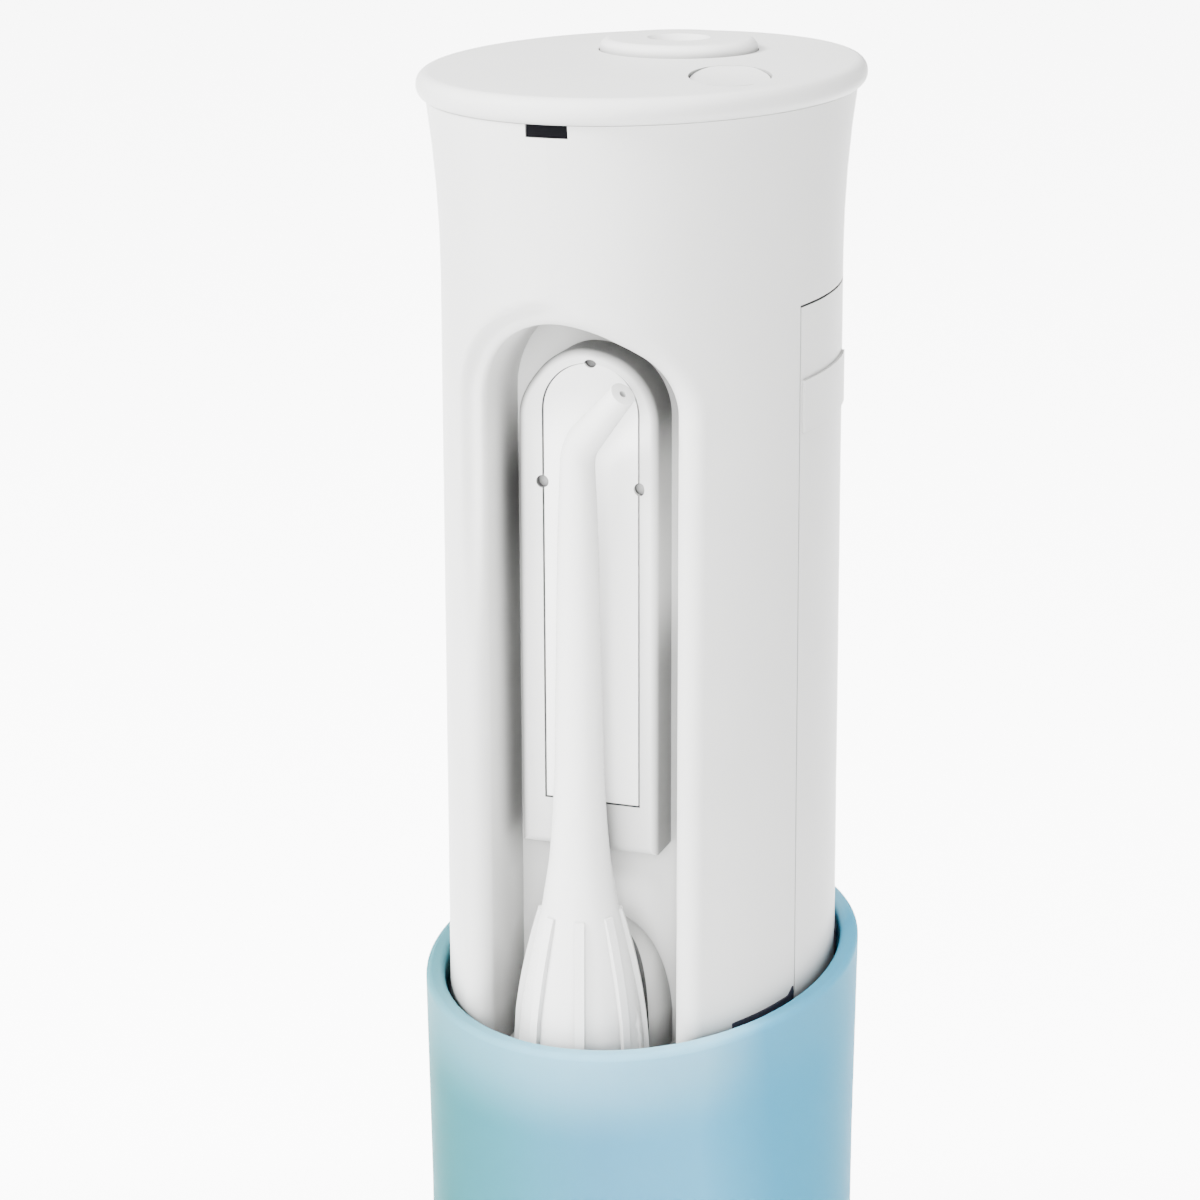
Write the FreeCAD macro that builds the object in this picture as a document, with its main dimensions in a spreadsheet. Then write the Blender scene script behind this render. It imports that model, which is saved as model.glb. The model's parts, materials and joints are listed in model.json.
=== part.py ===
import FreeCAD, Part
import math
import os
import re

# Telescoping portable water-jet irrigator: an oval pump body slides in an oval
# water tank, and the jet nozzle stands in a bay in the body's rear.
# Millimetres.  +Z is up, the bay faces -Y, the control slider faces +Y, and the
# origin is the middle of the tank's flat foot.

# ---------------------------------------------------------------- driving sizes

SIZES = {
    # tank
    "tank_height": 134.0,
    "tank_floor": 2.2,
    "tank_wall": 2.4,
    "tank_half_depth": 36.9,
    "tank_half_width": 27.4,
    "tank_shoulder": 29.0,
    "tank_taper": 0.35,
    "rim_lead": 9.0,
    "rim_round": 0.7,
    "foot_round": 4.0,
    # filler port and its stopper, in the tank's front
    "port_height": 96.0,
    "port_radius": 7.0,
    "port_play": 0.1,
    # pump body
    "insertion": 15.0,
    "body_height": 131.0,
    "body_play": 0.3,
    "body_growth": 0.5,
    "shell_wall": 1.8,
    "neck_length": 21.0,
    "neck_flare": 1.5,
    "lip_overhang": 2.65,
    "lip_thick": 3.2,
    "lip_round": 1.5,
    "spigot_length": 4.0,
    "fit_play": 0.15,
    # rear bay
    "bay_half_width": 11.6,
    "bay_depth": 18.85,
    "bay_wall": 1.5,
    "bay_sill": 8.0,
    "bay_spring_drop": 38.4,
    "bay_round": 2.0,
    # panel in the bay, and the inlay in its face
    "panel_half_width": 9.45,
    "panel_thick": 5.9,
    "panel_bottom_drop": 95.7,
    "panel_spring_drop": 40.6,
    "panel_round": 1.1,
    "inlay_half_width": 6.25,
    "inlay_thick": 0.5,
    "inlay_gap": 0.25,
    "inlay_top_drop": 33.4,
    "inlay_bottom_drop": 89.4,
    "notch_radius": 0.8,
    "notch_drop": 48.7,
    # cradle behind the nozzle's skirt
    "cradle_height": 17.0,
    "cradle_top_radius": 5.0,
    "cradle_base_radius": 8.6,
    # nozzle, standing in the bay
    "nozzle_inset": 8.35,
    "stem_play": 0.35,
    "stem_radius": 3.1,
    "stem_length": 5.0,
    "stem_level": 4.5,
    "stem_chamfer": 1.0,
    "well_low_radius": 3.4,
    "well_high_radius": 4.3,
    "skirt_radius": 8.0,
    "skirt_height": 20.5,
    "rib_count": 8,
    "rib_thick": 1.2,
    "rib_proud": 0.6,
    "shaft_low_radius": 4.7,
    "shaft_waist_radius": 3.4,
    "shaft_waist_rise": 14.0,
    "shaft_middle_radius": 2.75,
    "shaft_middle_rise": 33.0,
    "shaft_top_radius": 2.1,
    "shaft_height": 83.5,
    "tip_length": 11.3,
    "tip_bend": 5.0,
    "tip_radius": 1.55,
    "tip_bore": 0.45,
    "tip_lean": 45.0,
    "tip_turn": 62.0,
    # front cover, its grip pads and slider window
    "cover_edge": 9.5,
    "cover_top_drop": 27.2,
    "seam": 0.3,
    "pad_top_drop": 36.5,
    "pad_bottom_drop": 43.0,
    "pad_proud": 0.35,
    "pad_front": 10.0,
    "window_drop": 62.0,
    "window_half_width": 4.6,
    "window_height": 24.0,
    "window_deep": 1.3,
    "slot_half_width": 1.6,
    "slot_height": 14.0,
    "slider_half_width": 4.2,
    "slider_height": 12.0,
    "slider_travel": 8.0,
    "slider_proud": 0.15,
    # black latch slot under the lip
    "latch_half_width": 2.55,
    "latch_height": 1.5,
    "latch_set_back": 0.5,
    # soft pads on the flanks, level with the rim
    "strip_start": 9.9,
    "strip_end": 21.4,
    "strip_height": 0.5,
    "strip_hidden": 3.0,
    "strip_length": 11.0,
    "strip_proud": 0.2,
    "strip_sunk": 0.6,
    # nozzle socket in the lid
    "socket_set_front": 13.0,
    "socket_radius": 10.0,
    "socket_proud": 1.5,
    "socket_round": 1.2,
    "socket_bore": 3.2,
    "socket_tube_radius": 5.2,
    "socket_length": 20.0,
    "socket_floor": 4.5,
    "ring_rise": 1.0,
    "ring_groove": 1.2,
    "ring_section": 0.45,
    "mouth_flare": 0.8,
    # release button in the lid, and the collar that it moves
    "button_side": 14.0,
    "button_set_back": 10.0,
    "button_half_length": 9.5,
    "button_half_width": 4.8,
    "button_turn": 17.0,
    "button_thick": 5.5,
    "button_travel": 1.5,
    "button_play": 0.2,
    "button_dish": 0.6,
    "collar_drop": 10.0,
    "collar_height": 4.0,
    "collar_radius": 7.4,
    # base: cap, seal and intake
    "base_cap_thick": 3.0,
    "seal_height": 3.0,
    "seal_wall": 1.5,
    "seal_gap": 0.1,
    "intake_radius": 2.6,
    "intake_side": 13.0,
    "intake_set_back": 2.0,
    "intake_length": 6.0,
    # cells
    "cell_radius": 7.1,
    "cell_length": 50.5,
    "cell_inset": 16.35,
    "cell_gap": 0.6,
    "cell_base": 9.0,
    # motor and gear train
    "motor_length": 25.0,
    "motor_half_width": 10.2,
    "motor_half_depth": 7.7,
    "motor_gap": 1.8,
    "motor_base": 34.0,
    "shaft_radius": 1.0,
    "tooth_module": 0.4,
    "pinion_teeth": 14,
    "gear_teeth": 42,
    "gear_thick": 2.5,
    "backlash": 0.12,
    "crank_throw": 2.5,
    "pin_radius": 1.0,
    # pump
    "plunger_radius": 3.45,
    "plunger_play": 0.05,
    "barrel_wall": 2.0,
    "barrel_length": 9.0,
    "barrel_gap": 8.2,
    "plunger_lead": 1.2,
    "plunger_gap": 0.3,
    "head_length": 3.6,
    "head_half_width": 6.0,
    "valve_ball": 1.4,
    "tube_radius": 1.6,
    "tube_bore": 0.9,
    # screws
    "screw_radius": 1.0,
    "screw_bite": 1.2,
    "screw_head_radius": 2.0,
    "screw_head_height": 1.2,
    "screw_side": 11.4,
}

doc = FreeCAD.newDocument("irrigator")
sheet = doc.addObject("Spreadsheet::Sheet", "sizes")
for row, (alias, value) in enumerate(SIZES.items(), start=1):
    sheet.set("A%d" % row, alias)
    sheet.set("B%d" % row, str(value))
    sheet.setAlias("B%d" % row, alias)

# Levels and places that several pieces share, worked out in the sheet itself.
SHARED = {
    "base_level": "tank_height - insertion",
    "top_level": "tank_height - insertion + body_height",
    "lip_level": "tank_height - insertion + body_height - lip_thick",
    "shell_level": "tank_height - insertion + base_cap_thick + seal_height",
    "bay_level": "tank_height - insertion + bay_sill",
    "foot_level": "tank_height - insertion + stem_level",
    "motor_level": "tank_height - insertion + motor_base",
    "gear_level": "tank_height - insertion + motor_base + motor_length + 1.5",
    "bore_half_depth": "tank_half_depth - tank_wall - tank_taper",
    "bore_half_width": "tank_half_width - tank_wall - tank_taper",
    "body_half_depth": "bore_half_depth - body_play - body_growth",
    "body_half_width": "bore_half_width - body_play - body_growth",
    "lip_half_depth": "body_half_depth + lip_overhang",
    "lip_half_width": "body_half_width + lip_overhang",
    "nozzle_set_back": "body_half_depth - nozzle_inset",
    "bay_back": "body_half_depth - bay_depth",
    "panel_front": "body_half_depth - bay_depth + panel_thick",
    "cell_set_front": "body_half_depth - cell_inset",
    "motor_set_back": "body_half_depth - bay_depth - bay_wall - motor_half_depth - motor_gap",
    "gear_front": "(pinion_teeth + gear_teeth) * tooth_module / 2 - motor_set_back",
    "pump_level": "tank_height - insertion + motor_base + motor_length + 11.5",
}
for row, (alias, formula) in enumerate(SHARED.items(), start=len(SIZES) + 1):
    sheet.set("A%d" % row, alias)
    sheet.set("B%d" % row, "=" + formula)
    sheet.setAlias("B%d" % row, alias)
doc.recompute()

NAMES = set(SIZES) | set(SHARED)


def size(alias):
    """The value that the sheet holds for an alias, as a plain number."""
    return float(getattr(sheet, alias))


def formula(text):
    """Put the sheet's name before every alias in a formula."""
    return re.sub(r"[a-z_][a-z_0-9]*",
                  lambda word: "sizes." + word.group() if word.group() in NAMES else word.group(),
                  str(text))


def bind(obj, **links):
    """Bind an object's properties to formulas; x, y and z place it."""
    for name, text in links.items():
        path = "Placement.Base." + name if name in ("x", "y", "z") else name
        obj.setExpression(path, formula(text))
    return obj


def turn(obj, axis, angle):
    """Turn an object about an axis through its own origin."""
    obj.Placement = FreeCAD.Placement(obj.Placement.Base, FreeCAD.Rotation(axis, angle))
    return obj


# ---------------------------------------------------------------- form helpers

ALONG_X = FreeCAD.Vector(0, 1, 0)
ALONG_Y = FreeCAD.Vector(-1, 0, 0)
UP = FreeCAD.Vector(0, 0, 1)


def box(name, x0, x1, y0, y1, z0, z1):
    """A box between two corners, each coordinate a formula."""
    obj = doc.addObject("Part::Box", name)
    return bind(obj, Length="(%s) - (%s)" % (x1, x0), Width="(%s) - (%s)" % (y1, y0),
                Height="(%s) - (%s)" % (z1, z0), x=x0, y=y0, z=z0)


def rod(name, radius, length, x=0, y=0, z=0, axis=None):
    """A cylinder from (x, y, z) upwards, or along the axis it is turned to."""
    obj = doc.addObject("Part::Cylinder", name)
    if axis is not None:
        turn(obj, axis, 90)
    return bind(obj, Radius=radius, Height=length, x=x, y=y, z=z)


def cone(name, low, high, length, x=0, y=0, z=0, axis=None):
    """A truncated cone from (x, y, z) upwards, or along the axis it is turned to."""
    obj = doc.addObject("Part::Cone", name)
    if axis is not None:
        turn(obj, axis, 90)
    return bind(obj, Radius1=low, Radius2=high, Height=length, x=x, y=y, z=z)


def oval_loft(name, rings, smooth=False):
    """A solid through level ovals, each (half depth, half width, height)."""
    ovals = []
    for number, (deep, wide, height) in enumerate(rings):
        oval = doc.addObject("Part::Ellipse", "%s_oval_%d" % (name, number))
        turn(oval, UP, -90)
        ovals.append(bind(oval, MajorRadius=deep, MinorRadius=wide, z=height))
    obj = doc.addObject("Part::Loft", name)
    obj.Sections = ovals
    obj.Solid = True
    obj.Ruled = not smooth
    return obj


def cut(name, base, *tools):
    """The base with every tool taken away."""
    tool = tools[0] if len(tools) == 1 else fuse(name + "_tools", *tools)
    obj = doc.addObject("Part::Cut", name)
    obj.Base = base
    obj.Tool = tool
    return obj


def fuse(name, *pieces):
    """One solid of several that touch."""
    obj = doc.addObject("Part::MultiFuse", name)
    obj.Shapes = list(pieces)
    return obj


def common(name, one, other):
    """What two solids share."""
    obj = doc.addObject("Part::Common", name)
    obj.Base = one
    obj.Tool = other
    return obj


def rounded(name, base, radius, chosen):
    """Fillet the edges of base that the test chosen(edge) accepts."""
    doc.recompute()
    obj = doc.addObject("Part::Fillet", name)
    obj.Base = base
    obj.Edges = [(number, size(radius), size(radius))
                 for number, edge in enumerate(base.Shape.Edges, start=1) if chosen(edge)]
    if not obj.Edges:
        raise RuntimeError("no edge to round for " + name)
    return obj


def level_at(alias, offset=0.0):
    """A test for closed edges that lie level at a height."""
    height = size(alias) + offset

    def chosen(edge):
        bounds = edge.BoundBox
        return abs(bounds.ZMin - height) < 0.01 and abs(bounds.ZMax - height) < 0.01
    return chosen


PIECES = {}


def piece(node, obj, label=None):
    """Register an object as the sub-part that a node's file holds."""
    obj.Label = label or node
    PIECES[node] = obj
    return obj


def feature(node, shape, place=None):
    """A sub-part whose shape is made by code from the sheet's sizes."""
    obj = doc.addObject("Part::Feature", node)
    obj.Shape = shape
    if place is not None:
        obj.Placement = place
    return piece(node, obj)


# ---------------------------------------------------------------- tank

def tank_outside(name, trim="0"):
    """The tank's outer form, drawn in by trim all round."""
    deep = "tank_half_depth - (%s)" % trim
    wide = "tank_half_width - (%s)" % trim
    return oval_loft(name, [
        (deep + " - 1.6 * tank_taper", wide + " - 1.6 * tank_taper", "0"),
        (deep + " - tank_taper", wide + " - tank_taper", "tank_height - tank_shoulder"),
        (deep, wide, "tank_height"),
    ])


def tank_inside(name):
    """The tank's bore: straight, with a short lead-in at the rim."""
    return fuse(
        name,
        oval_loft(name + "_bore", [
            ("bore_half_depth", "bore_half_width", "tank_floor"),
            ("bore_half_depth", "bore_half_width", "tank_height - rim_lead"),
        ]),
        oval_loft(name + "_lead", [
            ("bore_half_depth", "bore_half_width", "tank_height - rim_lead"),
            ("bore_half_depth + tank_taper", "bore_half_width + tank_taper", "tank_height"),
            ("bore_half_depth + 2 * tank_taper", "bore_half_width + 2 * tank_taper",
             "tank_height + rim_lead"),
        ]))


def port_rod(name, radius):
    """A round bar along Y through the tank's front at the filler port."""
    return rod(name, radius, "tank_half_depth", 0, "tank_half_depth / 2", "port_height", ALONG_Y)


def make_tank():
    """The tank, with its rounded foot and rim and the filler port."""
    body = tank_outside("tank_form")
    footed = rounded("tank_footed", body, "foot_round", lambda e: e.BoundBox.ZMax < 0.01)
    hollow = cut("tank_hollow", footed, tank_inside("tank_space"))
    rimmed = rounded("tank_rimmed", hollow, "rim_round", level_at("tank_height"))
    piece("tank_shell", cut("tank_shell", rimmed, port_rod("port_hole", "port_radius")))


def make_stopper():
    """The soft stopper, flush with the tank inside and out."""
    disc = common("stopper_disc", tank_outside("stopper_face"),
                  port_rod("stopper_bar", "port_radius - port_play"))
    piece("filler_stopper", cut("filler_stopper", disc, tank_inside("stopper_inner_face")))


# ---------------------------------------------------------------- body shell

def body_form(name, grown="0", bottom="shell_level"):
    """The pump body's oval form, grown outwards all round, with its flared neck."""
    deep = "body_half_depth + (%s)" % grown
    wide = "body_half_width + (%s)" % grown
    neck = "lip_level - neck_length"
    base_growth = "body_growth * (lip_level - neck_length - (%s)) / body_height" % bottom
    lower = oval_loft(name + "_lower", [
        ("%s + %s" % (deep, base_growth), "%s + %s" % (wide, base_growth), bottom),
        (deep, wide, neck),
    ])
    steps = 4
    rings = []
    for step in range(steps + 1):
        share = step / steps
        bulge = " + neck_flare * %.4f" % (share ** 2)
        rings.append((deep + bulge, wide + bulge, "%s + neck_length * %.4f" % (neck, share)))
    return fuse(name, lower, oval_loft(name + "_neck", rings, smooth=True))


def arch(name, half_width, bottom, spring, back, front):
    """A round-topped upright block whose depth runs from back to front (both at -Y)."""
    legs = box(name + "_legs", "-(%s)" % half_width, half_width,
               "-(%s)" % front, "-(%s)" % back, bottom, spring)
    top = rod(name + "_top", half_width, "(%s) - (%s)" % (front, back), 0,
              "-(%s)" % front, spring, ALONG_Y)
    return fuse(name, legs, top)


def cover_zone(name, gap="0"):
    """The block that the front cover fills, wider by gap than the cover itself."""
    return box(name, "-body_half_width * 2", "body_half_width * 2",
               "-cover_edge - (%s)" % gap, "body_half_depth * 2",
               "shell_level - 1", "top_level - cover_top_drop + (%s)" % gap)


def strip_zone(name, side, sign, grown="0"):
    """The block that a flank pad fills: side is -1 or +1 in X, sign its side in Y."""
    near = "strip_start - (%s)" % grown
    far = "strip_end + (%s)" % grown
    low, high = ("-(%s)" % far, "-(%s)" % near) if sign < 0 else (near, far)
    x_low, x_high = ("0", "body_half_width * 2") if side > 0 else ("-body_half_width * 2", "0")
    rise = "tank_height + strip_height" if side > 0 else "tank_height - strip_hidden"
    return box(name, x_low, x_high, low, high, "%s - strip_length - (%s)" % (rise, grown),
               "%s + (%s)" % (rise, grown))


def stem_well(name):
    """The tapered well in the bay's floor that the nozzle's stem stands in."""
    return cone(name, "well_low_radius", "well_high_radius", "bay_level - foot_level + stem_play",
                0, "-nozzle_set_back", "foot_level - stem_play")


def screw_places():
    """Where the chassis screws go: (x, z) formulas, four in all."""
    return [("%d * screw_side" % side, "motor_level + %d" % height)
            for side in (-1, 1) for height in (6, 20)]


def make_housing():
    """The collar and rear shell in one, with the nozzle bay moulded into its back."""
    outside = body_form("housing_form")
    inside = body_form("housing_space", "-shell_wall", "shell_level - 1")
    shell = cut("housing_shell", outside, inside)
    tub = common("bay_tub",
                 arch("bay_tub_form", "bay_half_width + bay_wall", "shell_level",
                      "top_level - bay_spring_drop", "bay_back - bay_wall", "body_half_depth * 2"),
                 body_form("bay_tub_limit", "-shell_wall / 2"))
    walls = fuse("housing_walls", shell, tub)
    bay = arch("bay_space", "bay_half_width", "bay_level", "top_level - bay_spring_drop",
               "bay_back", "body_half_depth * 2")
    opened = cut("housing_opened", walls, bay, stem_well("housing_well"))
    half = size("bay_half_width")
    spring = size("top_level") - size("bay_spring_drop")

    def on_mouth(edge):
        bounds = edge.BoundBox
        reach = max(abs(bounds.XMin), abs(bounds.XMax))
        outer = bounds.YMax < -size("body_half_depth") * 0.8
        side = abs(reach - half) < 0.05 and bounds.ZLength > 20
        top = bounds.ZMax > spring + half - 0.5 and bounds.XLength > half * 0.9
        return outer and (side or top) and bounds.ZMax < spring + half + 0.1
    softened = rounded("housing_softened", opened, "bay_round", on_mouth)
    latch = box("latch_cut", "-latch_half_width", "latch_half_width", "-body_half_depth * 2",
                "-body_half_depth + shell_wall * 2", "lip_level - latch_height", "lip_level")
    strips = [common("strip_cut_%d" % side,
                     cut("strip_cut_ring_%d" % side, body_form("strip_cut_out_%d" % side, "1"),
                         body_form("strip_cut_in_%d" % side, "-strip_sunk")),
                     strip_zone("strip_cut_zone_%d" % side, side, -1))
              for side in (-1, 1)]
    pilots = [rod("screw_pilot_%d" % number, "screw_radius", "screw_bite", x,
                  "-bay_back + bay_wall - screw_bite", z, ALONG_Y)
              for number, (x, z) in enumerate(screw_places())]
    piece("main_housing", cut("main_housing", softened, cover_zone("cover_cut"), latch, *strips,
                              *pilots))


BOARD_LOW = "top_level - window_drop - window_height - 4"
BOARD_HIGH = "top_level - window_drop - 11"


def make_front_cover():
    """The front half shell, with grip pads on its flanks and the slider's window."""
    pads = common("cover_pads", body_form("pad_form", "pad_proud"),
                  box("pad_zone", "-body_half_width * 2", "body_half_width * 2",
                      "-cover_edge + 2.5 * seam", "pad_front",
                      "top_level - pad_bottom_drop", "top_level - pad_top_drop"))
    ring = cut("cover_ring", fuse("cover_outside", body_form("cover_form"), pads),
               body_form("cover_space", "-shell_wall", "shell_level - 1"))
    shell = common("cover_shell", ring, cover_zone("cover_zone", "-seam"))
    window = box("slider_window", "-window_half_width", "window_half_width",
                 "body_half_depth - window_deep", "body_half_depth * 2",
                 "top_level - window_drop - window_height", "top_level - window_drop")
    slot = box("slider_slot", "-slot_half_width", "slot_half_width", "0", "body_half_depth * 2",
               "top_level - window_drop - (window_height + slot_height) / 2",
               "top_level - window_drop - (window_height - slot_height) / 2")
    strips = [common("cover_strip_%d" % side,
                     cut("cover_strip_ring_%d" % side, body_form("cover_strip_out_%d" % side, "1"),
                         body_form("cover_strip_in_%d" % side, "-strip_sunk")),
                     strip_zone("cover_strip_zone_%d" % side, side, 1))
              for side in (-1, 1)]
    posts = [rod("board_post_%d" % number, "1.5", "4", x,
                 "body_half_depth - shell_wall - 3.5", z, ALONG_Y)
             for number, (x, z) in enumerate((x, z) for x in ("-5.5", "5.5")
                                             for z in (BOARD_LOW + " + 2.5", BOARD_HIGH + " - 2.5"))]
    piece("front_cover", cut("front_cover", fuse("cover_with_posts", shell, *posts), window, slot,
                             *strips))


def make_flank_pads():
    """Soft pads level with the tank's rim, with a short upturned end at the seam."""
    for side, hand in ((-1, "left"), (1, "right")):
        for sign, place in ((-1, "rear"), (1, "front")):
            name = "seal_pad_%s_%s" % (place, hand)
            ring = cut(name + "_ring", body_form(name + "_out", "strip_proud"),
                       body_form(name + "_in", "-strip_sunk"))
            zone = strip_zone(name + "_zone", side, sign, "-fit_play / 3")
            pad = common(name, ring, zone)
            piece(name, pad)


# ---------------------------------------------------------------- lid

def make_lid():
    """The lipped lid, with a spigot in the collar and holes for socket and button."""
    disc = oval_loft("lid_disc", [
        ("lip_half_depth", "lip_half_width", "lip_level"),
        ("lip_half_depth", "lip_half_width", "top_level"),
    ])
    lip = rounded("lid_lip", disc, "lip_round", lambda e: e.BoundBox.YLength > 10)
    inset = "neck_flare - shell_wall - fit_play"
    ring_out = oval_loft("spigot_out", [
        ("body_half_depth + %s - 0.6" % inset, "body_half_width + %s - 0.6" % inset,
         "lip_level - spigot_length"),
        ("body_half_depth + %s" % inset, "body_half_width + %s" % inset, "lip_level + 1"),
    ])
    ring_in = oval_loft("spigot_in", [
        ("body_half_depth + %s - 2.2" % inset, "body_half_width + %s - 2.2" % inset,
         "lip_level - spigot_length - 1"),
        ("body_half_depth + %s - 2.2" % inset, "body_half_width + %s - 2.2" % inset,
         "lip_level + 0.5"),
    ])
    solid = fuse("lid_solid", lip, cut("lid_spigot", ring_out, ring_in))
    socket_hole = rod("lid_socket_hole", "socket_tube_radius + fit_play", "lip_thick * 4", 0,
                      "socket_set_front", "lip_level - lip_thick")
    socket_seat = rod("lid_socket_seat", "socket_radius + fit_play", "lip_thick", 0,
                      "socket_set_front", "top_level - lip_thick / 2")
    piece("top_lid", cut("top_lid", solid, socket_hole, socket_seat,
                         button_form("lid_button_hole", "button_play", "lip_thick * 4",
                                     "lip_level - spigot_length - lip_thick")))


def button_form(name, grown, length, bottom):
    """An upright oval bar at the button's place, turned along the lid's edge."""
    oval = doc.addObject("Part::Ellipse", name + "_oval")
    turn(oval, UP, 90 + size("button_turn"))
    bind(oval, MajorRadius="button_half_length + (%s)" % grown,
         MinorRadius="button_half_width + (%s)" % grown,
         x="button_side", y="-button_set_back", z=bottom)
    obj = doc.addObject("Part::Extrusion", name)
    obj.Base = oval
    obj.Dir = UP
    obj.Solid = True
    return bind(obj, LengthFwd=length)


def make_socket():
    """The nozzle socket: a low round boss on the lid over a tube that takes the nozzle."""
    boss = rod("socket_boss", "socket_radius", "socket_proud + lip_thick / 2", 0,
               "socket_set_front", "top_level - lip_thick / 2")
    tube = rod("socket_tube", "socket_tube_radius", "socket_length", 0, "socket_set_front",
               "top_level - socket_length + socket_proud / 2")
    solid = rounded("socket_solid", fuse("socket_raw", boss, tube), "socket_round",
                    level_at("top_level", size("socket_proud")))
    floor = "top_level - socket_length + socket_floor"
    bore = rod("socket_hole", "socket_bore", "socket_length", 0, "socket_set_front", floor)
    feed = rod("socket_feed", "tube_bore", "socket_length * 2", 0, "socket_set_front",
               "top_level - socket_length * 1.5")
    mouth = cone("socket_mouth", "socket_bore", "socket_bore + mouth_flare", "mouth_flare", 0,
                 "socket_set_front", "top_level + socket_proud - mouth_flare")
    groove = rod("socket_groove", "socket_bore + ring_section * 2 + 0.1", "ring_groove", 0,
                 "socket_set_front", floor + " + ring_rise")
    piece("nozzle_socket", cut("nozzle_socket", solid, bore, feed, mouth, groove))
    ring = doc.addObject("Part::Torus", "socket_ring")
    bind(ring, Radius1="socket_bore + ring_section + 0.05", Radius2="ring_section",
         y="socket_set_front", z=floor + " + ring_rise + ring_groove / 2")
    piece("socket_o_ring", ring)


def make_release():
    """The release button with its arm, the collar it carries, and its spring."""
    cap = button_form("button_cap", "0", "button_thick", "top_level - button_thick")
    dish = doc.addObject("Part::Sphere", "button_dish_ball")
    bind(dish, Radius="60", x="button_side", y="-button_set_back",
         z="top_level + 60 - button_dish")
    level = "top_level - collar_drop"
    arm = box("button_arm", "-2.5", "2.5", "0",
              "((button_set_back + socket_set_front) ^ 2 + button_side ^ 2) ^ 0.5 - collar_radius",
              level + " - collar_height", level + " - collar_height + 2")
    angle = math.degrees(math.atan2(size("button_side"),
                                    size("button_set_back") + size("socket_set_front")))
    turn(arm, UP, angle)
    turned = math.radians(angle)
    bind(arm, x="button_side - 2.5 * %.5f" % math.cos(turned),
         y="-button_set_back - 2.5 * %.5f" % math.sin(turned))
    stem = rod("button_stem", "2.4", "collar_drop + collar_height - button_thick + 1",
               "button_side", "-button_set_back", level + " - collar_height")
    piece("release_button", fuse("release_button", cut("button_top", cap, dish), stem, arm))
    collar = rod("collar_ring", "collar_radius", "collar_height", 0, "socket_set_front",
                 level + " - collar_height")
    hole = rod("collar_hole", "socket_tube_radius + 0.3", "collar_height * 3", 0,
               "socket_set_front", level + " - collar_height * 2")
    piece("latch_collar", cut("latch_collar", collar, hole,
                              box("collar_keyway", "0", "collar_radius * 2",
                                  "socket_set_front - collar_radius * 2",
                                  "socket_set_front - collar_radius + 0.2",
                                  level + " - collar_height * 2", level + " + collar_height")))


# ---------------------------------------------------------------- bay pieces

def make_bay_panel():
    """The raised panel on the bay's back, and the inlay let into its face."""
    block = arch("panel_block", "panel_half_width", "top_level - panel_bottom_drop",
                 "top_level - panel_spring_drop", "bay_back", "panel_front")
    front = -size("panel_front")
    soft = rounded("panel_soft", block, "panel_round",
                   lambda e: abs(e.BoundBox.YMin - front) < 0.01 and e.BoundBox.YLength < 0.01)
    top = "top_level - inlay_top_drop - inlay_half_width"
    bottom = "top_level - inlay_bottom_drop"
    recess = arch("inlay_recess", "inlay_half_width", bottom, top,
                  "panel_front - inlay_thick", "panel_front + 1")
    piece("bay_panel", cut("bay_panel", soft, recess, *notches("panel_notch")))
    plate = arch("inlay_plate", "inlay_half_width - inlay_gap", bottom + " + inlay_gap", top,
                 "panel_front - inlay_thick", "panel_front - 0.05")
    piece("bay_inlay", cut("bay_inlay", plate, *notches("inlay_notch")))


def notches(name):
    """Three small round pockets on the inlay's edge: top, left and right."""
    places = [("0", "top_level - inlay_top_drop"),
              ("-inlay_half_width", "top_level - notch_drop"),
              ("inlay_half_width", "top_level - notch_drop")]
    return [rod("%s_%d" % (name, number), "notch_radius", "1.2", x, "-panel_front - 0.2", height,
                ALONG_Y)
            for number, (x, height) in enumerate(places)]


def make_cradle():
    """The rounded rest that the nozzle's skirt leans on, at the bottom of the bay."""
    seat = size("nozzle_set_back")
    back = size("bay_back")
    low = size("bay_level")
    tall = size("cradle_height")
    base_radius = size("cradle_base_radius")
    top_radius = size("cradle_top_radius")
    middle = -back - 0.3
    outline = [FreeCAD.Vector(0, 0, 0), FreeCAD.Vector(base_radius, 0, 0)]
    side = Part.BSplineCurve()
    side.interpolate([FreeCAD.Vector(base_radius, 0, 0),
                      FreeCAD.Vector(base_radius * 0.95, 0, tall * 0.45),
                      FreeCAD.Vector(top_radius, 0, tall * 0.85),
                      FreeCAD.Vector(0, 0, tall)])
    edges = [Part.makeLine(outline[0], outline[1]), side.toShape(),
             Part.makeLine(FreeCAD.Vector(0, 0, tall), outline[0])]
    hump = Part.Face(Part.Wire(edges)).revolve(FreeCAD.Vector(), UP, 360)
    hump.translate(FreeCAD.Vector(0, middle, low))
    keep = Part.makeBox(base_radius * 2, base_radius * 2, tall * 2,
                        FreeCAD.Vector(-base_radius, -back - base_radius * 2, low - tall / 2))
    room = Part.makeCylinder(size("skirt_radius") + size("rib_proud") + 0.35, tall * 2,
                             FreeCAD.Vector(0, -seat, low - 1))
    feature("nozzle_cradle", Part.Solid(hump).common(keep).cut(room))


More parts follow.
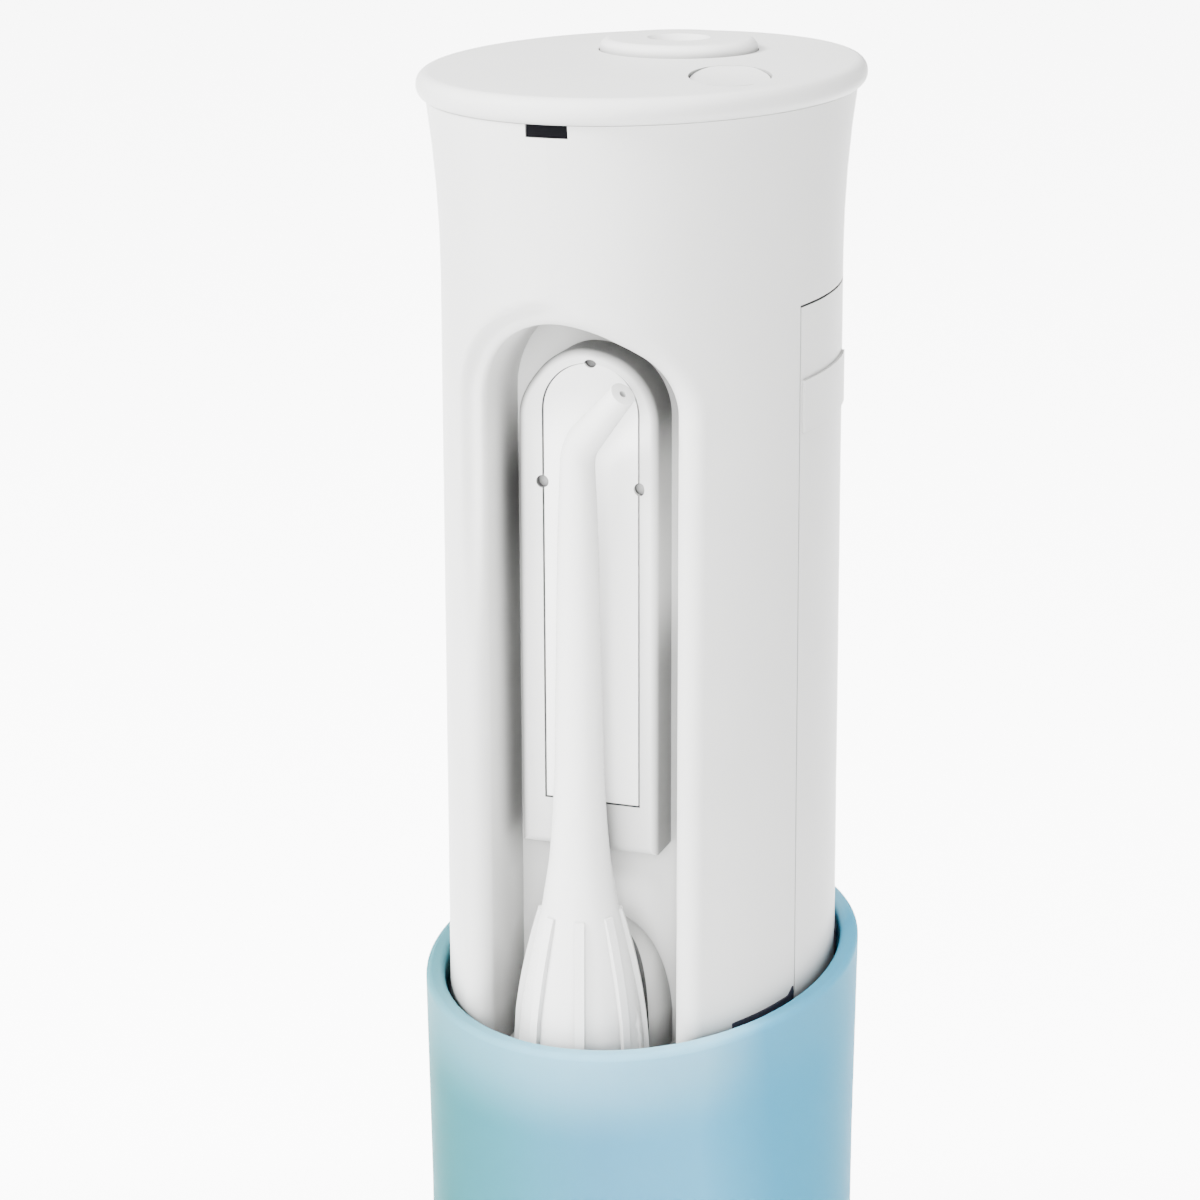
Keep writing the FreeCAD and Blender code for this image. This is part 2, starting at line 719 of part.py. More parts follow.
def make_nozzle():
    """The jet nozzle: foot, ribbed skirt, tapered shaft and bent tip."""
    foot = size("foot_level")
    skirt_low = size("stem_length")
    skirt_top = skirt_low + size("skirt_height")
    skirt = size("skirt_radius")
    shaft_low = size("shaft_low_radius")
    shaft_top = size("shaft_top_radius")
    bend_at = size("shaft_height")
    lean = math.radians(size("tip_lean"))
    turn_to = math.radians(size("tip_turn"))
    side_reach = FreeCAD.Vector(math.sin(turn_to), -math.cos(turn_to), 0)
    tip_reach = side_reach * math.sin(lean) + UP * math.cos(lean)
    bend = size("tip_bend")
    bend_reach = bend * math.tan(lean / 2)

    def at(radius, height):
        return FreeCAD.Vector(radius, 0, height)
    side = Part.BSplineCurve()
    side.interpolate([at(skirt, skirt_low), at(skirt * 0.93, skirt_low + 7.0),
                      at(shaft_low + 1.1, skirt_top - 5.0), at(shaft_low, skirt_top)])
    shaft = Part.BSplineCurve()
    shaft.interpolate([at(shaft_low, skirt_top),
                       at(size("shaft_waist_radius"), skirt_top + size("shaft_waist_rise")),
                       at(size("shaft_middle_radius"), skirt_top + size("shaft_middle_rise")),
                       at(shaft_top, bend_at - bend_reach)])
    stem = size("stem_radius")
    chamfer = size("stem_chamfer")
    profile = Part.Wire([
        Part.makeLine(at(0, 0), at(stem - chamfer, 0)),
        Part.makeLine(at(stem - chamfer, 0), at(stem, chamfer)),
        Part.makeLine(at(stem, chamfer), at(stem, skirt_low)),
        Part.makeLine(at(stem, skirt_low), at(skirt, skirt_low)),
        side.toShape(),
        shaft.toShape(),
        Part.makeLine(at(shaft_top, bend_at - bend_reach), at(0, bend_at - bend_reach)),
        Part.makeLine(at(0, bend_at - bend_reach), at(0, 0)),
    ])
    turned = Part.Solid(Part.Face(profile).revolve(FreeCAD.Vector(), UP, 360))
    tip = Part.makeCone(shaft_top, size("tip_radius"), size("tip_length") - bend_reach,
                        at(0, bend_at) + tip_reach * bend_reach, tip_reach)
    ring = Part.Face(Part.Wire(Part.makeCircle(shaft_top, at(0, bend_at - bend_reach), UP)))
    knee = ring.revolve(at(0, bend_at - bend_reach) + side_reach * bend, UP.cross(side_reach),
                        size("tip_lean"))
    solid = turned.fuse([tip, knee])
    ribs = []
    for number in range(int(size("rib_count"))):
        proud = size("rib_proud")
        thick = size("rib_thick")
        edge = Part.BSplineCurve()
        edge.interpolate([at(skirt + proud, skirt_low),
                          at(skirt * 0.93 + proud, skirt_low + 7.0),
                          at(shaft_low + 1.1 + proud, skirt_top - 5.0),
                          at(shaft_low + proud * 0.8, skirt_top - 0.6)])
        blade = Part.Wire([
            Part.makeLine(at(1, skirt_low), at(skirt + proud, skirt_low)),
            edge.toShape(),
            Part.makeLine(at(shaft_low + proud * 0.8, skirt_top - 0.6), at(1, skirt_top - 0.6)),
            Part.makeLine(at(1, skirt_top - 0.6), at(1, skirt_low)),
        ])
        rib = Part.Face(blade).extrude(FreeCAD.Vector(0, thick, 0))
        rib.translate(FreeCAD.Vector(0, -thick / 2, 0))
        rib.rotate(FreeCAD.Vector(), UP, 360.0 * number / size("rib_count") + 45.0 - 71.1)
        ribs.append(rib)
    solid = solid.fuse(ribs)
    tip_end = at(0, bend_at) + tip_reach * (size("tip_length") + 1)
    solid = solid.cut(Part.makeCylinder(size("tip_bore"), size("tip_length"), tip_end,
                                        tip_reach * -1))
    bore = Part.makeCone(1.6, 0.8, bend_at - bend - 4.0, at(0, -1))
    solid = solid.cut(bore).removeSplitter()
    feature("jet_nozzle", solid,
            FreeCAD.Placement(FreeCAD.Vector(0, -size("nozzle_set_back"), foot),
                              FreeCAD.Rotation()))


# ---------------------------------------------------------------- rear latch slot

def make_latch_insert():
    """The dark insert behind the slot under the lip."""
    face = "-body_half_depth - neck_flare + latch_set_back"
    inner = "-body_half_depth - neck_flare + shell_wall"
    tongue = box("latch_tongue", "-latch_half_width + 0.05", "latch_half_width - 0.05",
                 face, inner, "lip_level - latch_height + 0.05", "lip_level")
    piece("latch_slot_insert", tongue)


# ---------------------------------------------------------------- slider

def make_slider():
    """The mode slider in the front window, with its grip ridges and its stem."""
    middle = "top_level - window_drop - window_height / 2 - slider_travel / 2"
    thumb = common("slider_thumb", body_form("slider_face", "slider_proud"),
                   box("slider_zone", "-slider_half_width", "slider_half_width",
                       "body_half_depth - window_deep + fit_play", "body_half_depth * 2",
                       middle + " - slider_height / 2", middle + " + slider_height / 2"))
    ridge_cuts = [box("slider_groove_%d" % number, "-slider_half_width + 1",
                      "slider_half_width - 1", "body_half_depth + slider_proud - 0.1",
                      "body_half_depth * 2",
                      "%s + (%d) * 2 - 0.4" % (middle, number - 2),
                      "%s + (%d) * 2 + 0.4" % (middle, number - 2))
                  for number in range(5)]
    stem = box("slider_stem", "-slot_half_width + fit_play", "slot_half_width - fit_play",
               "body_half_depth - shell_wall - 3", "body_half_depth - 0.5",
               middle + " - 2.5", middle + " + 2.5")
    piece("mode_slider", fuse("mode_slider", cut("slider_ridged", thumb, *ridge_cuts), stem))


# ---------------------------------------------------------------- base

def make_base():
    """The base cap that closes the cell bay, the seal above it and the intake."""
    cap = oval_loft("cap_disc", [
        ("body_half_depth + body_growth - 0.8", "body_half_width + body_growth - 0.8",
         "base_level"),
        ("body_half_depth + body_growth", "body_half_width + body_growth", "base_level + 0.8"),
        ("body_half_depth + body_growth", "body_half_width + body_growth",
         "base_level + base_cap_thick"),
    ])
    intake = rod("cap_intake_hole", "intake_radius + 0.3", "base_cap_thick * 4", "intake_side",
                 "-intake_set_back", "base_level - base_cap_thick")
    grip = box("cap_coin_slot", "-6", "6", "9.2", "10.8", "base_level - 1", "base_level + 1")
    piece("base_cap", cut("base_cap", cap, intake, grip))
    carrier = oval_loft("carrier_disc", [
        ("body_half_depth - shell_wall - 0.4", "body_half_width - shell_wall - 0.4",
         "base_level + base_cap_thick"),
        ("body_half_depth - shell_wall - 0.4", "body_half_width - shell_wall - 0.4",
         "shell_level"),
    ])
    cells = [rod("carrier_cell_%d" % side, "cell_radius + cell_gap / 4", "cell_length",
                 "%d * (cell_radius + cell_gap / 2)" % side, "cell_set_front", "base_level")
             for side in (-1, 1)]
    hole = rod("carrier_intake_hole", "intake_radius + 0.05", "base_cap_thick * 6", "intake_side",
               "-intake_set_back", "base_level - base_cap_thick")
    piece("base_carrier", cut("base_carrier", carrier, hole, stem_well("carrier_well"), *cells))
    ring_out = oval_loft("seal_out", [
        ("bore_half_depth - seal_gap - 0.5", "bore_half_width - seal_gap - 0.5",
         "base_level + base_cap_thick"),
        ("bore_half_depth - seal_gap", "bore_half_width - seal_gap",
         "base_level + base_cap_thick + seal_height / 2"),
        ("bore_half_depth - seal_gap - 0.5", "bore_half_width - seal_gap - 0.5",
         "shell_level"),
    ])
    ring_in = oval_loft("seal_in", [
        ("body_half_depth - shell_wall - 0.4", "body_half_width - shell_wall - 0.4",
         "base_level"),
        ("body_half_depth - shell_wall - 0.4", "body_half_width - shell_wall - 0.4",
         "shell_level + 1"),
    ])
    piece("base_seal", cut("base_seal", ring_out, ring_in))
    nipple = fuse("intake_body",
                  rod("intake_pipe", "intake_radius", "intake_length + base_cap_thick",
                      "intake_side", "-intake_set_back", "base_level - 1"),
                  rod("intake_collar", "intake_radius + 1.2", "1.5", "intake_side",
                      "-intake_set_back", "shell_level"))
    piece("intake_filter", cut("intake_filter", nipple,
                               rod("intake_bore", "tube_bore", "intake_length * 4", "intake_side",
                                   "-intake_set_back", "base_level - 3")))


# ---------------------------------------------------------------- power

def make_power():
    """Two round cells, the contact plates below and above them, and the circuit board."""
    low = "base_level + cell_base"
    cells = []
    for side in (-1, 1):
        centre = "%d * (cell_radius + cell_gap / 2)" % side
        can = rod("cell_can_%d" % side, "cell_radius", "cell_length - 1.5", centre,
                  "cell_set_front", low)
        nub_low = low + " + cell_length - 2"
        nub = rod("cell_nub_%d" % side, "2.7", "2", centre, "cell_set_front", nub_low)
        cells.append(piece("cell_%s" % ("left" if side < 0 else "right"),
                           fuse("cell_%d" % side, can, nub)))
    under = box("contact_low_plate", "-14", "14", "cell_set_front - 4.5", "cell_set_front + 4.5",
                low + " - 0.8", low)
    over = box("contact_high_plate", "-14", "14", "cell_set_front - 4.5", "cell_set_front + 4.5",
               low + " + cell_length", low + " + cell_length + 0.5")
    piece("lower_contact", under)
    piece("upper_contact", over)
    board = box("board_plate", "-8", "8", "body_half_depth - shell_wall - 5.1",
                "body_half_depth - shell_wall - 3.5", BOARD_LOW, BOARD_HIGH)
    piece("circuit_board", board)


def make_chassis():
    """The inner frame: a deck over the cells that carries motor, gears and pump."""
    deck = box("deck_plate", "-17", "17", "-bay_back + bay_wall + 0.3", "motor_half_depth",
               "motor_level - 1.5", "motor_level")
    wall = box("deck_wall", "-17", "17", "-bay_back + bay_wall + 0.3",
               "-motor_set_back - motor_half_depth - 0.05", "motor_level - 1.5",
               "gear_level - 0.6")
    bridge = box("deck_bridge", "-17", "17", "-bay_back + bay_wall + 0.3",
                 "gear_front + 4", "gear_level - 1.4", "gear_level - 0.4")
    holes = [rod("bridge_motor_hole", "shaft_radius + 0.6", "6", 0, "-motor_set_back",
                 "gear_level - 3"),
             rod("bridge_axle_hole", "shaft_radius", "6", 0, "gear_front", "gear_level - 3")]
    holes += [rod("screw_hole_%d" % number, "screw_radius + 0.1", "4", x,
                  "-bay_back + bay_wall", z, ALONG_Y)
              for number, (x, z) in enumerate(screw_places())]
    piece("chassis", cut("chassis", fuse("chassis_solid", deck, wall, bridge), *holes))
    screws = []
    head_at = "-motor_set_back - motor_half_depth - 0.05"
    for number, (x, z) in enumerate(screw_places()):
        screws.append(rod("screw_head_%d" % number, "screw_head_radius", "screw_head_height", x,
                          head_at, z, ALONG_Y))
        screws.append(rod("screw_shank_%d" % number, "screw_radius - 0.02",
                          "%s + bay_back - bay_wall + screw_bite - 0.05" % head_at, x,
                          "-bay_back + bay_wall - screw_bite + 0.05", z, ALONG_Y))
    piece("chassis_screws", fuse("chassis_screws", *screws))


# ---------------------------------------------------------------- gear train

def gear_outline(teeth, module, play):
    """A closed wire of straight-flanked teeth about the origin, thinned by play."""
    pitch = teeth * module / 2
    outer = pitch + module * 0.95
    root = pitch - module * 1.2
    points = []
    for tooth in range(teeth):
        middle = 2 * math.pi * tooth / teeth
        half = math.pi / (2 * teeth) - play / (2 * pitch)
        for radius, angle in ((root, -half * 1.6), (outer, -half * 0.45),
                              (outer, half * 0.45), (root, half * 1.6)):
            points.append(FreeCAD.Vector(radius * math.cos(middle + angle),
                                         radius * math.sin(middle + angle), 0))
    return Part.makePolygon(points + [points[0]])


def toothed(teeth, thick, play):
    """A spur gear blank with its teeth, standing on the origin's level."""
    wire = gear_outline(teeth, size("tooth_module"), play)
    return Part.Face(wire).extrude(FreeCAD.Vector(0, 0, thick))


def make_gears():
    """The pinion on the motor's shaft and the crank gear on its axle, in mesh."""
    thick = size("gear_thick")
    play = size("backlash")
    level = size("gear_level")
    bore = size("shaft_radius")
    pinion_teeth = int(size("pinion_teeth"))
    gear_teeth = int(size("gear_teeth"))
    pinion = toothed(pinion_teeth, thick, play)
    pinion = pinion.cut(Part.makeCylinder(bore, thick * 3, FreeCAD.Vector(0, 0, -thick)))
    # a pinion tooth points at the gear, so the gear is set half a tooth round
    feature("pinion", pinion, FreeCAD.Placement(
        FreeCAD.Vector(0, -size("motor_set_back"), level), FreeCAD.Rotation(UP, 90)))
    gear = toothed(gear_teeth, thick, play)
    pitch = gear_teeth * size("tooth_module") / 2
    for number in range(4):
        angle = math.radians(45 + 90 * number)
        hole = Part.makeCylinder(1.3, thick * 3, FreeCAD.Vector(
            math.cos(angle) * pitch * 0.68, math.sin(angle) * pitch * 0.68, -thick))
        gear = gear.cut(hole)
    gear = gear.cut(Part.makeCylinder(bore, thick * 3, FreeCAD.Vector(0, 0, -thick)))
    feature("crank_gear", gear, FreeCAD.Placement(
        FreeCAD.Vector(0, size("gear_front"), level),
        FreeCAD.Rotation(UP, -90 + 180.0 / gear_teeth)))
    throw = size("crank_throw")
    axle = Part.makeCylinder(bore - 0.05, 3.0 + thick, FreeCAD.Vector(0, 0, -3.0))
    disc = Part.makeCylinder(throw + size("pin_radius") + 1.0, 1.0, FreeCAD.Vector(0, 0, thick))
    pin = Part.makeCylinder(size("pin_radius"), 3.0, FreeCAD.Vector(throw, 0, thick + 1.0))
    feature("crank_pin", axle.fuse([disc, pin]), FreeCAD.Placement(
        FreeCAD.Vector(0, size("gear_front"), level), FreeCAD.Rotation()))


def make_motor():
    """The small flat-sided motor: its can, and its shaft."""
    can = rod("motor_round", "motor_half_width", "motor_length", 0, "-motor_set_back",
              "motor_level")
    flats = box("motor_flats", "-motor_half_width * 2", "motor_half_width * 2",
                "-motor_set_back - motor_half_depth", "-motor_set_back + motor_half_depth",
                "motor_level", "motor_level + motor_length")
    hole = rod("motor_bore", "shaft_radius + 0.05", "motor_length", 0, "-motor_set_back",
               "motor_level + 5")
    piece("motor_can", cut("motor_can", common("motor_body", can, flats), hole))
    piece("motor_shaft", rod("motor_shaft", "shaft_radius", "motor_length - 3 + gear_thick", 0,
                             "-motor_set_back", "motor_level + 5"))


# ---------------------------------------------------------------- pump

def make_pump():
    """Plunger with its yoke, the barrel, and the valve head with its balls and tubes."""
    barrel_start = "gear_front + barrel_gap"
    outer = rod("barrel_tube", "plunger_radius + barrel_wall", "barrel_length", 0,
                barrel_start, "pump_level", ALONG_Y)
    bore = rod("barrel_bore", "plunger_radius + plunger_play", "barrel_length * 2", 0,
               barrel_start + " - 1", "pump_level", ALONG_Y)
    piece("pump_barrel", cut("pump_barrel", outer, bore))
    head = box("head_block", "-head_half_width", "head_half_width",
               barrel_start + " + barrel_length", barrel_start + " + barrel_length + head_length",
               "pump_level - head_half_width", "pump_level + head_half_width")
    middle = barrel_start + " + barrel_length + head_length / 2"
    passage = rod("head_passage", "valve_ball + 0.05", "head_half_width * 2", 0, middle,
                  "pump_level - head_half_width + 1")
    inlet = rod("head_inlet", "tube_bore", "head_half_width * 2", 0, middle, "pump_level - 3.5",
                FreeCAD.Vector(0, 1, 0))
    piece("valve_head", cut("valve_head", head, passage, inlet))
    for number, drop in enumerate(("-3", "3")):
        ball = doc.addObject("Part::Sphere", "ball_%d" % number)
        bind(ball, Radius="valve_ball", y=middle, z="pump_level + " + drop)
        piece("valve_ball_%s" % ("inlet" if number == 0 else "outlet"), ball)
    rod_start = "gear_front + crank_throw + pin_radius + 0.6"
    plunger = rod("plunger_bar", "plunger_radius",
                  "barrel_length - plunger_lead - crank_throw - plunger_gap", 0,
                  barrel_start + " + plunger_lead", "pump_level", ALONG_Y)
    stem = rod("plunger_stem", "1.5", "%s + plunger_lead + 1 - (%s)" % (barrel_start, rod_start), 0, rod_start,
               "pump_level", ALONG_Y)
    yoke = box("yoke_plate", "-crank_throw - pin_radius - 1.5", "crank_throw + pin_radius + 1.5",
               rod_start + " - 0.2", rod_start + " + 1.4", "pump_level - 2.2", "pump_level + 2.2")
    piece("pump_plunger", fuse("pump_plunger", plunger, stem, yoke))


def tube_shape(points, radius, bore, bend):
    """A hollow tube along straight runs joined by round bends."""
    edges = []
    start = points[0]
    for before, corner, after in zip(points, points[1:], points[2:]):
        back = (before - corner).normalize()
        ahead = (after - corner).normalize()
        angle = back.getAngle(ahead)
        reach = bend / math.tan(angle / 2)
        first = corner + back * reach
        last = corner + ahead * reach
        inward = (back + ahead).normalize()
        centre = corner + inward * (bend / math.sin(angle / 2))
        edges.append(Part.makeLine(start, first))
        edges.append(Part.Arc(first, centre - inward * bend, last).toShape())
        start = last
    edges.append(Part.makeLine(start, points[-1]))
    path = Part.Wire(edges)
    direction = (points[1] - points[0]).normalize()

    def swept(size_of):
        ring = Part.Wire(Part.makeCircle(size_of, points[0], direction))
        return path.makePipeShell([ring], True, False)
    return Part.Solid(swept(radius)).cut(Part.Solid(swept(bore)))


def make_tubes():
    """The intake tube up from the base and the delivery tube up to the socket."""
    head_front = (size("gear_front") + size("barrel_gap") + size("barrel_length")
                  + size("head_length") / 2)
    pump = size("pump_level")
    at = FreeCAD.Vector
    side = size("intake_side")
    back = -size("intake_set_back")
    intake = [at(side, back, size("base_level") + size("intake_length") + 2.0),
              at(side, back, size("motor_level") - 9.0),
              at(19.0, 3.0, size("motor_level") - 3.0),
              at(19.0, 3.0, pump - 3.5),
              at(9.8, head_front, pump - 3.5),
              at(size("head_half_width"), head_front, pump - 3.5)]
    feature("intake_tube", tube_shape(intake, size("tube_radius"), size("tube_bore"), 2.6))
    delivery = [at(0, head_front, pump + size("head_half_width")), at(0, head_front, pump + 14.0),
                at(0, size("socket_set_front"), pump + 22.0),
                at(0, size("socket_set_front"),
                   size("top_level") - size("socket_length") + size("socket_proud") / 2)]
    feature("delivery_tube", tube_shape(delivery, size("tube_radius"), size("tube_bore"), 3.0))


# ---------------------------------------------------------------- build and export

for make in (make_tank, make_stopper, make_housing, make_front_cover, make_flank_pads, make_lid,
             make_socket, make_release, make_bay_panel, make_cradle, make_nozzle,
             make_latch_insert, make_slider, make_base, make_power, make_chassis, make_gears,
             make_motor, make_pump, make_tubes):
    make()
    doc.recompute()

for obj in doc.Objects:
    if "Invalid" in obj.State or "Error" in obj.State:
        raise RuntimeError("%s failed: %s" % (obj.Name, obj.State))

os.makedirs("parts", exist_ok=True)
for node, obj in PIECES.items():
    shape = obj.Shape
    if shape.isNull() or not shape.isValid() or not shape.Solids:
        raise RuntimeError("no valid solid for " + node)
    print("%-24s solids %d  volume %.1f" % (node, len(shape.Solids), shape.Volume))
    shape.exportStep("parts/%s.step" % node)
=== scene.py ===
import json
import math

import bmesh
import bpy
from mathutils import Matrix, Vector


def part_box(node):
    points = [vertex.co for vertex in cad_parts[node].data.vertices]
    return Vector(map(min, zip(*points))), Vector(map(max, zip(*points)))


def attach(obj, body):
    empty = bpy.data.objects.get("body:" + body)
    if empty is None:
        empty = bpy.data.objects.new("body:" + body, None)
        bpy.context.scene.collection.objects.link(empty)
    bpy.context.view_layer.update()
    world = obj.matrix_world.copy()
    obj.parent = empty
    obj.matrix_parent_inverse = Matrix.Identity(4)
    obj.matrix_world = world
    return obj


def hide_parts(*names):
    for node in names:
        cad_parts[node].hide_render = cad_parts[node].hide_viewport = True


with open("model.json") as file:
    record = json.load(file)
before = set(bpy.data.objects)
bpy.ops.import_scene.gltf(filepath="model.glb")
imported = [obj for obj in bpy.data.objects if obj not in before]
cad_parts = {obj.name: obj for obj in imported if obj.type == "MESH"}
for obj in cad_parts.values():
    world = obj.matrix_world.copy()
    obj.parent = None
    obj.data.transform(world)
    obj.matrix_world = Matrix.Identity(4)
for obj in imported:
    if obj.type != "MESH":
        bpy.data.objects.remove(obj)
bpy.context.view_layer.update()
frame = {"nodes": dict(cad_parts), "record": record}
NODES = frame["nodes"]
RECORD = frame["record"]

# A telescoping water-jet irrigator, dressed round its CAD model.  Metres.  +Z is up, the nozzle's
# bay faces -Y, and left and right are as seen from there.

# ---------------------------------------------------------------- places, read from the frame

TANK_LOW, TANK_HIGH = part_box("tank_shell")
STRIP_LOW, STRIP_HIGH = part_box("seal_pad_rear_right")
PANEL_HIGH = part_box("bay_panel")[1]
INLAY_HALF_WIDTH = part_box("bay_inlay")[1].x
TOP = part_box("top_lid")[1].z
RIM = TANK_HIGH.z
PANEL_SPRING = PANEL_HIGH.z - PANEL_HIGH.x
ARCH_DROP = 0.0384
ARCH = TOP - ARCH_DROP
NOZZLE_AXIS = next(joint["pos_m"][1] for joint in RECORD["behaviour"]["joints"]
                   if joint["name"] == "nozzle_tilt")

# The body's oval at the bay, as half its width and half its depth.
OVAL = (0.02385, 0.03335)

# ---------------------------------------------------------------- node helpers


def new_material(name):
    """An empty node material with its shader and output joined up."""
    material = bpy.data.materials.new(name)
    material.use_nodes = True
    tree = material.node_tree
    tree.nodes.clear()
    output = tree.nodes.new("ShaderNodeOutputMaterial")
    shader = tree.nodes.new("ShaderNodeBsdfPrincipled")
    tree.links.new(shader.outputs["BSDF"], output.inputs["Surface"])
    return material, tree, shader


def calculate(tree, operation, *values):
    """One step of arithmetic on sockets or plain numbers."""
    node = tree.nodes.new("ShaderNodeMath")
    node.operation = operation
    for value, socket in zip(values, node.inputs):
        if isinstance(value, float):
            socket.default_value = value
        else:
            tree.links.new(value, socket)
    return node.outputs["Value"]


def linear_range(tree, value, start, end, low=0.0, high=1.0, kind="LINEAR"):
    """Low to high as a value goes from start to end, and no further."""
    node = tree.nodes.new("ShaderNodeMapRange")
    node.interpolation_type = kind
    node.inputs["From Min"].default_value = start
    node.inputs["From Max"].default_value = end
    node.inputs["To Min"].default_value = low
    node.inputs["To Max"].default_value = high
    tree.links.new(value, node.inputs["Value"])
    return node.outputs["Result"]


def smooth_range(tree, value, start, end, low=0.0, high=1.0):
    """Low to high, smoothly, as a value goes from start to end."""
    return linear_range(tree, value, start, end, low, high, "SMOOTHSTEP")


def place_axes(tree, output="Object"):
    """The X, Y and Z sockets of a shading point's own coordinates."""
    coordinates = tree.nodes.new("ShaderNodeTexCoord")
    split = tree.nodes.new("ShaderNodeSeparateXYZ")
    tree.links.new(coordinates.outputs[output], split.inputs["Vector"])
    return split.outputs["X"], split.outputs["Y"], split.outputs["Z"]


def noise(tree, scale, detail, roughness=0.5, stretch=None):
    """A noise texture in the object's own space, in cycles per metre."""
    coordinates = tree.nodes.new("ShaderNodeTexCoord")
    texture = tree.nodes.new("ShaderNodeTexNoise")
    texture.inputs["Scale"].default_value = scale
    texture.inputs["Detail"].default_value = detail
    texture.inputs["Roughness"].default_value = roughness
    source = coordinates.outputs["Object"]
    if stretch is not None:
        mapping = tree.nodes.new("ShaderNodeMapping")
        mapping.inputs["Scale"].default_value = stretch
        tree.links.new(source, mapping.inputs["Vector"])
        source = mapping.outputs["Vector"]
    tree.links.new(source, texture.inputs["Vector"])
    return texture.outputs["Fac"]


def graded(tree, factor, stops):
    """A colour that follows a factor through (position, colour) stops."""
    ramp = tree.nodes.new("ShaderNodeValToRGB")
    elements = ramp.color_ramp.elements
    elements[0].position, elements[1].position = stops[0][0], stops[-1][0]
    elements[0].color, elements[1].color = (*stops[0][1], 1.0), (*stops[-1][1], 1.0)
    for position, colour in stops[1:-1]:
        elements.new(position).color = (*colour, 1.0)
    tree.links.new(factor, ramp.inputs["Fac"])
    return ramp.outputs["Color"]


def drifting(tree, factor, low, high):
    """A colour that drifts from low to high over the middle of a noise."""
    return graded(tree, factor, ((0.35, low), (0.65, high)))


def bump(tree, shader, height, strength, depth):
    """Raise the shader's surface by a height, over a depth in metres."""
    node = tree.nodes.new("ShaderNodeBump")
    node.inputs["Strength"].default_value = strength
    node.inputs["Distance"].default_value = depth
    tree.links.new(height, node.inputs["Height"])
    tree.links.new(node.outputs["Normal"], shader.inputs["Normal"])


def shade_least_lifted(tree, least, zones):
    """A least brightness for painted crevice shade, raised in zones that each have ranges in X
    and Z and an amount, so the painted shade is lighter there.
    """
    x, _, z = place_axes(tree)
    level = least
    for across, upward, downward, amount in zones:
        share = calculate(tree, "MULTIPLY", smooth_range(tree, x, *across), amount)
        for limits in (upward, downward):
            share = calculate(tree, "MULTIPLY", smooth_range(tree, z, *limits), share)
        level = calculate(tree, "ADD", share, level)
    return level


def painted_crevice_shade(tree, colour, least, reach, zones):
    """A colour darkened by painted shade, down to a least share, where surfaces within a reach in
    metres crowd it.
    """
    openness = tree.nodes.new("ShaderNodeAmbientOcclusion")
    openness.samples = 12
    openness.inputs["Distance"].default_value = reach
    shade_share = tree.nodes.new("ShaderNodeMapRange")
    shade_share.inputs["From Min"].default_value = 0.15
    shade_share.inputs["From Max"].default_value = 0.85
    shade_share.inputs["To Min"].default_value = least
    if zones:
        tree.links.new(shade_least_lifted(tree, least, zones), shade_share.inputs["To Min"])
    tree.links.new(openness.outputs["AO"], shade_share.inputs["Value"])
    scaled = tree.nodes.new("ShaderNodeVectorMath")
    scaled.operation = "SCALE"
    tree.links.new(colour, scaled.inputs[0])
    tree.links.new(shade_share.outputs["Result"], scaled.inputs["Scale"])
    return scaled.outputs["Vector"]


# ---------------------------------------------------------------- materials


def moulded(name, low, high, rough, grain=2600.0, soft=0.0, crevice_shade_least=None, reach=0.006, zones=()):
    """Moulded plastic: slow colour drift, fine grain in the gloss and a faint bump, and painted
    shade darkening its crevices when given a least share.
    """
    material, tree, shader = new_material(name)
    fine = noise(tree, grain, 4.0, 0.6)
    colour = drifting(tree, noise(tree, 38.0, 2.0), low, high)
    # Painted shade: the colour darkens in crevices, down to this least share.
    if crevice_shade_least is not None:
        colour = painted_crevice_shade(tree, colour, crevice_shade_least, reach, zones)
    tree.links.new(colour, shader.inputs["Base Color"])
    tree.links.new(linear_range(tree, fine, 0.0, 1.0, rough - 0.05, rough + 0.05),
                   shader.inputs["Roughness"])
    bump(tree, shader, fine, 0.25, 0.00002)
    shader.inputs["IOR"].default_value = 1.09
    if soft:
        shader.inputs["Subsurface Weight"].default_value = soft
        shader.inputs["Subsurface Radius"].default_value = (1.0, 0.9, 0.8)
        shader.inputs["Subsurface Scale"].default_value = 0.0012
    return material


def metal(name, colour, rough):
    """Drawn metal with fine lengthwise streaks."""
    material, tree, shader = new_material(name)
    streaks = noise(tree, 900.0, 3.0, 0.6, (1.0, 1.0, 0.05))
    low = tuple(0.85 * part for part in colour)
    tree.links.new(drifting(tree, streaks, low, colour), shader.inputs["Base Color"])
    tree.links.new(linear_range(tree, streaks, 0.0, 1.0, rough - 0.08, rough + 0.08),
                   shader.inputs["Roughness"])
    shader.inputs["Metallic"].default_value = 1.0
    bump(tree, shader, streaks, 0.3, 0.00001)
    return material


# Along X, from the left flank to the right: the tank's tint, greener on the left, with painted
# shade darkening its flanks and painted light on its paler stretch right of the middle; and how
# strong the painted highlight towards the rim is.
TANK_TINT_AND_PAINTED_SHADE = ((0.10, (0.024, 0.112, 0.122)), (0.25, (0.022, 0.114, 0.125)),
                (0.45, (0.034, 0.160, 0.200)), (0.70, (0.060, 0.215, 0.325)),
                (0.89, (0.079, 0.308, 0.469)), (1.00, (0.040, 0.240, 0.385)))
RIM_HIGHLIGHT_SHARES = ((0.15, (0.16, 0.16, 0.16)), (0.45, (0.40, 0.40, 0.40)), (0.62, (0.62, 0.62, 0.62)),
              (0.90, (0.72, 0.72, 0.72)), (1.00, (0.10, 0.10, 0.10)))
RIM_HIGHLIGHT_COLOUR = (0.22, 0.44, 0.55)
RIM_HIGHLIGHT_BAND = (0.0125, 0.0005)


